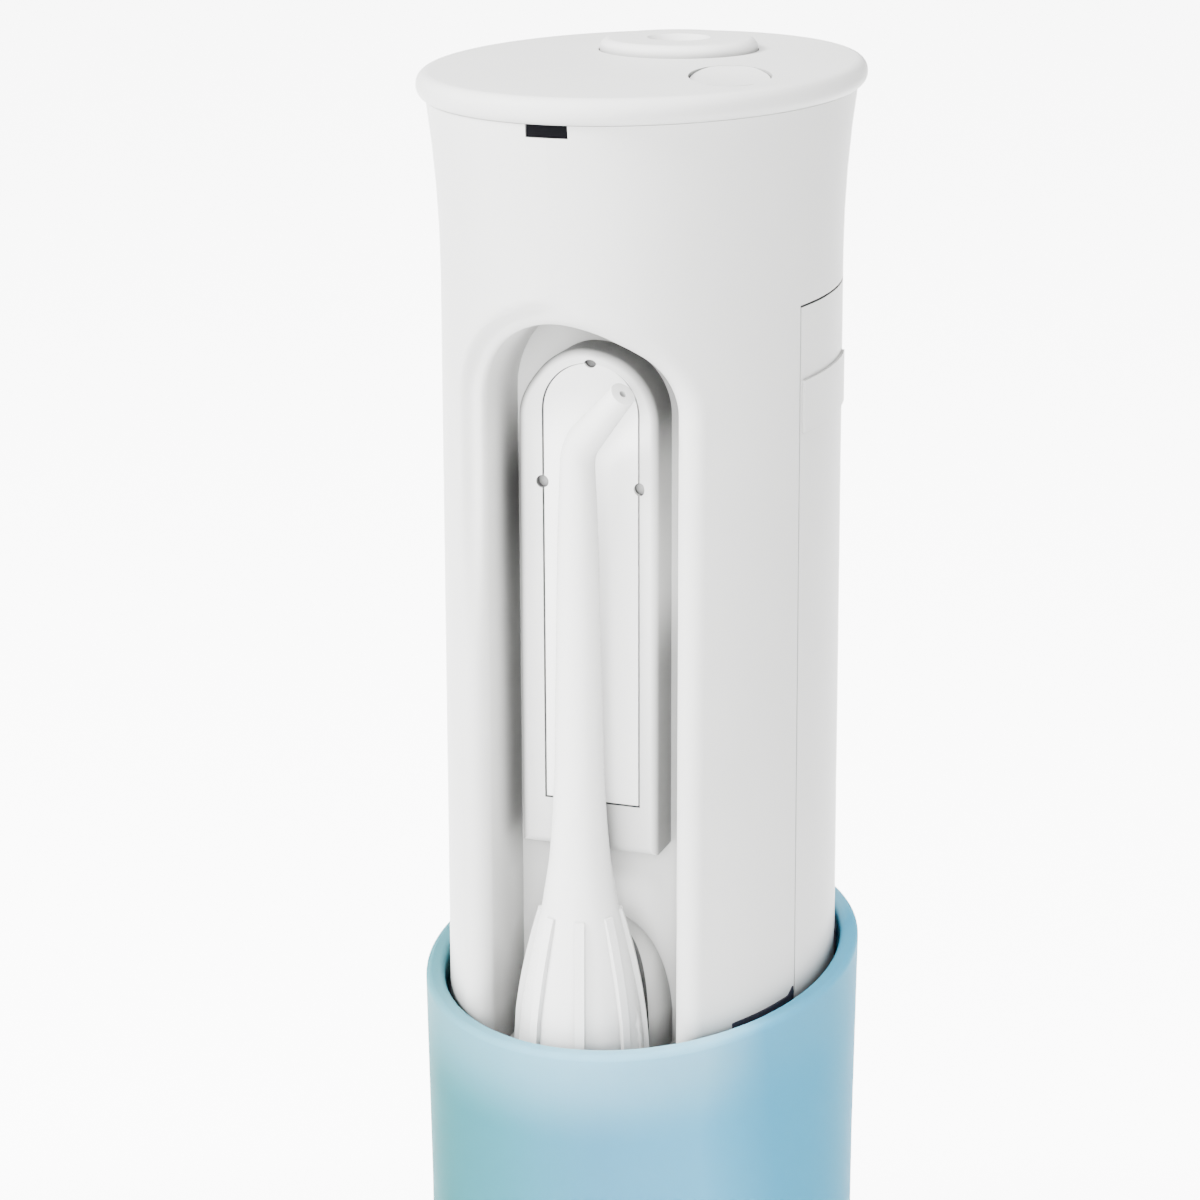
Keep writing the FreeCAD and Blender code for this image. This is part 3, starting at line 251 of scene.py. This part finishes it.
def tank_plastic(name):
    """Frosted light-blue plastic, greener on the left flank, with painted shade on its flanks,
    painted light right of the middle and a painted highlight towards the rim.
    """
    material, tree, shader = new_material(name)
    fine = noise(tree, 3200.0, 3.0, 0.6)
    x, _, z = place_axes(tree)
    across = linear_range(tree, x, TANK_LOW.x, TANK_HIGH.x)
    wandering = calculate(tree, "MULTIPLY_ADD", noise(tree, 14.0, 2.0), 0.16, across)
    # Painted highlight: a pale colour mixed in over the top of the tank, strongest right of the
    # middle.
    rising = smooth_range(tree, z, RIM - RIM_HIGHLIGHT_BAND[0], RIM - RIM_HIGHLIGHT_BAND[1])
    rim_highlight = tree.nodes.new("ShaderNodeMix")
    rim_highlight.data_type = "RGBA"
    rim_highlight.inputs["B"].default_value = (*RIM_HIGHLIGHT_COLOUR, 1.0)
    tree.links.new(calculate(tree, "MULTIPLY", graded(tree, wandering, RIM_HIGHLIGHT_SHARES), rising),
                   rim_highlight.inputs["Factor"])
    # Tint across X, with painted shade on the flanks and painted light right of the middle.
    tree.links.new(graded(tree, wandering, TANK_TINT_AND_PAINTED_SHADE), rim_highlight.inputs["A"])
    tree.links.new(rim_highlight.outputs["Result"], shader.inputs["Base Color"])
    tree.links.new(linear_range(tree, fine, 0.0, 1.0, 0.38, 0.48), shader.inputs["Roughness"])
    shader.inputs["Subsurface Weight"].default_value = 0.7
    shader.inputs["Subsurface Radius"].default_value = (0.7, 1.0, 1.1)
    shader.inputs["Subsurface Scale"].default_value = 0.0035
    shader.inputs["IOR"].default_value = 1.04
    bump(tree, shader, fine, 0.2, 0.00002)
    return material


SHELL_WHITE = ((0.61, 0.61, 0.60), (0.64, 0.64, 0.63))

# The white shell, the nozzle and the inlay carry painted shade in their crevices; the inlay's
# white is paler than the shell's as painted light on the recessed inlay.
SLOT_MATERIALS = {
    "white_shell": moulded("white_shell", *SHELL_WHITE, 0.34, crevice_shade_least=0.25),
    "nozzle_white": moulded("nozzle_white", (0.70, 0.70, 0.69), (0.73, 0.73, 0.72), 0.28,
                            crevice_shade_least=0.55),
    "inlay_white": moulded("inlay_white", (0.90, 0.90, 0.89), (0.94, 0.94, 0.93), 0.42,
                           crevice_shade_least=0.75),
    "tank_blue": tank_plastic("tank_blue"),
    "soft_white": moulded("soft_white", (0.62, 0.76, 0.80), (0.68, 0.80, 0.83), 0.55, 1800.0),
    "black_rubber": moulded("black_rubber", (0.010, 0.011, 0.018), (0.02, 0.021, 0.03), 0.6,
                            1600.0),
    "black_trim": moulded("black_trim", (0.002, 0.002, 0.003), (0.004, 0.004, 0.005), 0.5),
    "cell_jacket": metal("cell_jacket", (0.36, 0.37, 0.39), 0.35),
    "contact_steel": metal("contact_steel", (0.74, 0.73, 0.71), 0.28),
    "motor_steel": metal("motor_steel", (0.66, 0.66, 0.67), 0.32),
    "board_green": moulded("board_green", (0.03, 0.16, 0.07), (0.05, 0.22, 0.10), 0.4),
    "chassis_grey": moulded("chassis_grey", (0.40, 0.41, 0.42), (0.46, 0.47, 0.48), 0.5),
    "gear_acetal": moulded("gear_acetal", (0.74, 0.72, 0.65), (0.80, 0.78, 0.72), 0.4),
    "pump_plastic": moulded("pump_plastic", (0.62, 0.64, 0.64), (0.70, 0.72, 0.72), 0.42),
    "tube_clear": moulded("tube_clear", (0.66, 0.70, 0.70), (0.74, 0.77, 0.77), 0.3, soft=0.4),
}

for part in RECORD["subparts"]:
    node_mesh = NODES[part["node"]].data
    node_mesh.materials.clear()
    node_mesh.materials.append(SLOT_MATERIALS[part["material_slot"]])

# Where the painted shade in the crevices of the bay is lifted, so they stay paler: a smooth range
# across, one upward and one downward in Z, and by how much.  A zone without a lower or an upper
# end takes a range outside the bay.
FROM_BELOW = (RIM - 0.050, RIM - 0.040)
TO_ABOVE = (TOP + 0.040, TOP + 0.030)
CROWN_LEFT = ((0.001, -0.006), (ARCH - 0.012, ARCH + 0.002), TO_ABOVE, 0.75)
MOAT_LEFT = ((-0.005, -0.009), FROM_BELOW, (ARCH - 0.012, ARCH - 0.030), 0.20)
MOAT_RIGHT = ((0.005, 0.009), (ARCH - 0.034, ARCH - 0.022), (ARCH, ARCH - 0.009), 0.42)
MOAT_RIGHT_LOW = ((0.005, 0.009), FROM_BELOW, (ARCH - 0.004, ARCH - 0.020), 0.16)

# Painted shade darkens the crevices of the panel and the housing, lifted in the zones above; the
# panel's white is paler than the shell's as painted light on the recessed panel.
PANEL_MATERIAL = moulded("panel_white", (0.79, 0.79, 0.78), (0.82, 0.82, 0.81), 0.36, crevice_shade_least=0.10,
                         reach=0.008, zones=(MOAT_LEFT, MOAT_RIGHT, MOAT_RIGHT_LOW))
HOUSING_MATERIAL = moulded("shell_dished", *SHELL_WHITE, 0.34, crevice_shade_least=0.17,
                           zones=(CROWN_LEFT, MOAT_LEFT, MOAT_RIGHT, MOAT_RIGHT_LOW))

# ---------------------------------------------------------------- dressed pieces

# Lengths by which corners move.
STRIP_DROP = 0.0005
STRIP_CURL = 0.0009
MOUTH_SHIFT = 0.0009
PANEL_SIDE_TRIM = 0.0011
PANEL_CROWN_TRIM = 0.0006
DISH_DEPTH = 0.0013

# Shares of its radius that the nozzle loses.
NOZZLE_LEAN = 0.06
NOZZLE_FOOT_RELIEF = 0.015

# The dish's radii about the arch's middle, and the box and pitch of the cuts that make it smooth.
DISH_INNER = 0.0126
DISH_OUTER = 0.0151
DISH_GRID = ((-0.0152, -0.036, ARCH - 0.034), (0.0040, -0.012, ARCH + 0.0155), 0.0008)

WELD = 0.0000005
SLIVER = 0.000001


def smooth_step(value, start, end):
    """Nought to one, smoothly, as a value goes from start to end."""
    share = min(max((value - start) / (end - start), 0.0), 1.0)
    return share * share * (3.0 - 2.0 * share)


def refine(mesh, low, high, pitch):
    """Cut a mesh's rear faces that reach into a box finer, by a grid of planes."""
    shape = bmesh.new()
    shape.from_mesh(mesh)
    bmesh.ops.remove_doubles(shape, verts=shape.verts, dist=WELD)
    faces = []
    for face in shape.faces:
        corners = [vertex.co for vertex in face.verts]
        reaches_in = all(min(corner[side] for corner in corners) < high[side]
                         and max(corner[side] for corner in corners) > low[side]
                         for side in range(3))
        if face.normal.y < -0.2 and reaches_in:
            faces.append(face)
    picked = (faces + list({edge for face in faces for edge in face.edges})
              + list({vertex for face in faces for vertex in face.verts}))
    for axis in (0, 2):
        for number in range(int((high[axis] - low[axis]) / pitch) + 1):
            place, normal = Vector(), Vector()
            place[axis] = low[axis] + number * pitch
            normal[axis] = 1.0
            picked = bmesh.ops.bisect_plane(shape, geom=picked, dist=2.0 * SLIVER,
                                            plane_co=place, plane_no=normal)["geom"]
    bmesh.ops.triangulate(shape, faces=[face for face in shape.faces if len(face.verts) > 3])
    bmesh.ops.dissolve_degenerate(shape, edges=shape.edges, dist=SLIVER)
    shape.to_mesh(mesh)
    shape.free()


def carried_normals(mesh, place, rest_normals):
    """Corner normals after a placing rule, from the rule's slopes at each vertex."""
    step = 0.00002
    turns = []
    for vertex in mesh.vertices:
        rows = []
        for axis in range(3):
            ahead, behind = vertex.co.copy(), vertex.co.copy()
            ahead[axis] += step
            behind[axis] -= step
            rows.append((place(ahead) - place(behind)) / (2.0 * step))
        turns.append(Matrix(rows).inverted_safe())
    return [(turns[loop.vertex_index] @ normal).normalized()
            for loop, normal in zip(mesh.loops, rest_normals)]


def dressed(name, node, body, place, material=None, grid=None):
    """A copy of a node with each corner moved by a rule, standing for the node."""
    mesh = NODES[node].data.copy()
    mesh.name = name
    if material is not None:
        mesh.materials.clear()
        mesh.materials.append(material)
    kept = mesh.attributes.new("rest_normal", "FLOAT_VECTOR", "CORNER")
    for item, corner in zip(kept.data, mesh.corner_normals):
        item.vector = corner.vector
    if grid is not None:
        refine(mesh, *grid)
    rest_normals = [item.vector.copy() for item in mesh.attributes["rest_normal"].data]
    normals = carried_normals(mesh, place, rest_normals)
    for vertex in mesh.vertices:
        vertex.co = place(vertex.co)
    mesh.attributes.remove(mesh.attributes["rest_normal"])
    mesh.normals_split_custom_set(normals)
    piece = bpy.data.objects.new(name, mesh)
    bpy.context.scene.collection.objects.link(piece)
    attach(piece, body)
    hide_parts(node)


def narrow_panel(point):
    """The panel's edge, drawn in on its right side and over its crown."""
    x, y, z = point
    rise = max(z - PANEL_SPRING, 0.0)
    reach = math.hypot(x, rise)
    if reach < 0.001:
        return point
    right = smooth_step(x, -0.004, 0.003)
    drawn = smooth_step(reach, INLAY_HALF_WIDTH + 0.0002, PANEL_HIGH.x - 0.0002)
    drawn *= (PANEL_SIDE_TRIM * right
              + PANEL_CROWN_TRIM * (1.0 - right) * smooth_step(rise, 0.0, 0.006))
    shrink = 1.0 - drawn / reach
    return Vector((x * shrink, y, z - rise * (1.0 - shrink)))


def lower_recess(point):
    """The top edge of the recess round the rim strip, brought down with the strip."""
    x, y, z = point
    level = abs(z - STRIP_HIGH.z - 0.0001) < 0.0004
    if level and x > 0.0 and STRIP_LOW.y - 0.0006 < y < STRIP_HIGH.y + 0.0006:
        return Vector((x, y, z - STRIP_DROP))
    return point


def dish(point):
    """A soft dish round the upper left of the bay's mouth, deepest at its edge."""
    x, y, z = point
    half_width, half_depth = OVAL
    reach = math.hypot(x, max(z - ARCH, 0.0))
    share = ((1.0 - smooth_step(reach, DISH_INNER, DISH_OUTER)) * smooth_step(-x, -0.004, 0.003)
             * smooth_step(z, ARCH - 0.034, ARCH - 0.006)
             * smooth_step(math.hypot(x / half_width, y / half_depth), 0.90, 0.995))
    if y > -0.010 or share == 0.0:
        return point
    return Vector((x, y + DISH_DEPTH * share, z))


def wider_mouth(point):
    """The housing: its bay's right wall moved out along the body's oval, and its dish."""
    x, y, z = point = dish(lower_recess(point))
    share = (smooth_step(x, 0.0060, 0.0105) * (1.0 - smooth_step(x, 0.0150, 0.0205))
             * smooth_step(-y, 0.009, 0.013) * (1.0 - smooth_step(z, TOP - 0.024, TOP - 0.016)))
    if share == 0.0:
        return point
    moved = x + MOUTH_SHIFT * share
    half_width, half_depth = OVAL
    outer = smooth_step(math.hypot(x / half_width, y / half_depth), 0.80, 0.95)
    before = math.sqrt(max(1.0 - (x / half_width) ** 2, 0.01))
    after = math.sqrt(max(1.0 - (moved / half_width) ** 2, 0.01))
    return Vector((moved, y * (1.0 + (after / before - 1.0) * outer), z))


def slim_nozzle(point):
    """The nozzle, a little leaner above its skirt and clear of the tank's wall at its foot."""
    x, y, z = point
    lean = (smooth_step(z, RIM + 0.015, RIM + 0.022)
            * (1.0 - smooth_step(z, RIM + 0.030, RIM + 0.042)))
    keep = 1.0 - NOZZLE_LEAN * lean
    if z < RIM + 0.0005 and y < NOZZLE_AXIS:
        keep -= NOZZLE_FOOT_RELIEF
    return Vector((x * keep, NOZZLE_AXIS + (y - NOZZLE_AXIS) * keep, z))


def thin_strip(point):
    """A low rubber strip whose rear end turns up."""
    x, y, z = point
    if z < STRIP_HIGH.z - 0.002:
        return point
    turned = smooth_step(y, STRIP_HIGH.y - 0.0009, STRIP_HIGH.y - 0.0002)
    return Vector((x, y, z - STRIP_DROP + STRIP_CURL * turned))


dressed("panel_plate", "bay_panel", "main_body", narrow_panel, PANEL_MATERIAL)
dressed("housing_shell", "main_housing", "main_body", wider_mouth,
        HOUSING_MATERIAL, DISH_GRID)
dressed("nozzle_jet", "jet_nozzle", "nozzle", slim_nozzle)
dressed("rim_strip", "seal_pad_rear_right", "main_body", thin_strip)

# ---------------------------------------------------------------- camera, floor and light

CAMERA_AZIMUTH = math.radians(18.892)
CAMERA_PITCH = math.radians(15.613)
CAMERA_DISTANCE = 0.39628
CAMERA_TARGET_DROP = 0.060

# The floor glows in a lane behind the object and in a ring far out.
FLOOR_HALF = 9.0
LANE_TURN = math.radians(-18.9)
LANE_NEAR = 0.05
LANE_FAR = 8.0
LANE_SIDE = 0.2
LANE_WIDENING = 0.22
RING_GLOW = 1.6
WORLD_LIGHT = 0.12

# Name, place, target, side and watts.
LIGHTS = (("key", (-0.78, -0.80, 1.05), (0, 0, 0.18), 0.40, 66.0),
          ("top", (0.1, -0.1, 1.25), (0, 0, 0.2), 0.5, 26.0),
          ("fill", (0.22, -1.12, 0.50), (0, 0, 0.15), 0.5, 27.0))


def add_camera():
    """A camera a little above the lid, to the right of the bay, looking down at the body."""
    data = bpy.data.cameras.new("camera")
    data.sensor_width = 36.0
    data.lens = 93.1
    data.shift_x = -0.0379
    data.shift_y = -0.0561
    data.clip_end = 50.0
    camera = bpy.data.objects.new("camera", data)
    bpy.context.scene.collection.objects.link(camera)
    away = Vector((math.sin(CAMERA_AZIMUTH) * math.cos(CAMERA_PITCH),
                   -math.cos(CAMERA_AZIMUTH) * math.cos(CAMERA_PITCH), math.sin(CAMERA_PITCH)))
    camera.location = Vector((0.0, 0.0, TOP - CAMERA_TARGET_DROP)) + away * CAMERA_DISTANCE
    camera.rotation_euler = (-away).to_track_quat("-Z", "Y").to_euler()
    bpy.context.scene.camera = camera


def add_area_light(name, place, target, side, power):
    """A soft square light at a place, facing a target."""
    data = bpy.data.lights.new(name, "AREA")
    data.shape = "RECTANGLE"
    data.size = side
    data.size_y = side
    data.energy = power
    light = bpy.data.objects.new(name, data)
    bpy.context.scene.collection.objects.link(light)
    light.location = place
    light.rotation_euler = (Vector(target) - Vector(place)).to_track_quat("-Z", "Y").to_euler()


def add_floor():
    """A wide pale floor, brighter behind the object, with a fine matte grain."""
    mesh = bpy.data.meshes.new("floor")
    mesh.from_pydata([(-FLOOR_HALF, -FLOOR_HALF, 0), (FLOOR_HALF, -FLOOR_HALF, 0),
                      (FLOOR_HALF, FLOOR_HALF, 0), (-FLOOR_HALF, FLOOR_HALF, 0)],
                     [], [(0, 1, 2, 3)])
    floor = bpy.data.objects.new("floor", mesh)
    bpy.context.scene.collection.objects.link(floor)
    material, tree, shader = new_material("floor_paper")
    tree.links.new(drifting(tree, noise(tree, 60.0, 4.0), (0.90, 0.90, 0.90), (0.92, 0.92, 0.92)),
                   shader.inputs["Base Color"])
    shader.inputs["Roughness"].default_value = 0.9
    coordinates = tree.nodes.new("ShaderNodeTexCoord")
    mapping = tree.nodes.new("ShaderNodeMapping")
    mapping.inputs["Rotation"].default_value = (0.0, 0.0, LANE_TURN)
    split = tree.nodes.new("ShaderNodeSeparateXYZ")
    tree.links.new(coordinates.outputs["Object"], mapping.inputs["Vector"])
    tree.links.new(mapping.outputs["Vector"], split.inputs["Vector"])
    across, along = split.outputs["X"], split.outputs["Y"]
    off_lane = calculate(tree, "MULTIPLY_ADD", along, -LANE_WIDENING,
                         calculate(tree, "ABSOLUTE", across))
    lane = calculate(tree, "MULTIPLY",
                     smooth_range(tree, along, 0.04, 0.22, LANE_NEAR, LANE_FAR),
                     smooth_range(tree, off_lane, 0.30, 0.75, 1.0, LANE_SIDE))
    squares = (calculate(tree, "MULTIPLY", axis, axis) for axis in (across, along))
    radius = calculate(tree, "SQRT", calculate(tree, "ADD", *squares))
    ring = calculate(tree, "MULTIPLY", smooth_range(tree, radius, 0.45, 1.3), RING_GLOW)
    tree.links.new(calculate(tree, "MAXIMUM", lane, ring), shader.inputs["Emission Strength"])
    shader.inputs["Emission Color"].default_value = (1.0, 1.0, 1.0, 1.0)
    mesh.materials.append(material)


def add_world():
    """A dim surround above and a pale band near the horizon."""
    world = bpy.data.worlds.new("surround")
    world.use_nodes = True
    tree = world.node_tree
    background = tree.nodes["Background"]
    background.inputs["Color"].default_value = (1.0, 1.0, 1.0, 1.0)
    band = smooth_range(tree, place_axes(tree, "Generated")[2], 0.30, 0.06)
    level = calculate(tree, "MULTIPLY", band, RING_GLOW - WORLD_LIGHT)
    tree.links.new(calculate(tree, "ADD", level, WORLD_LIGHT), background.inputs["Strength"])
    bpy.context.scene.world = world


add_camera()
add_world()
add_floor()
for light_settings in LIGHTS:
    add_area_light(*light_settings)
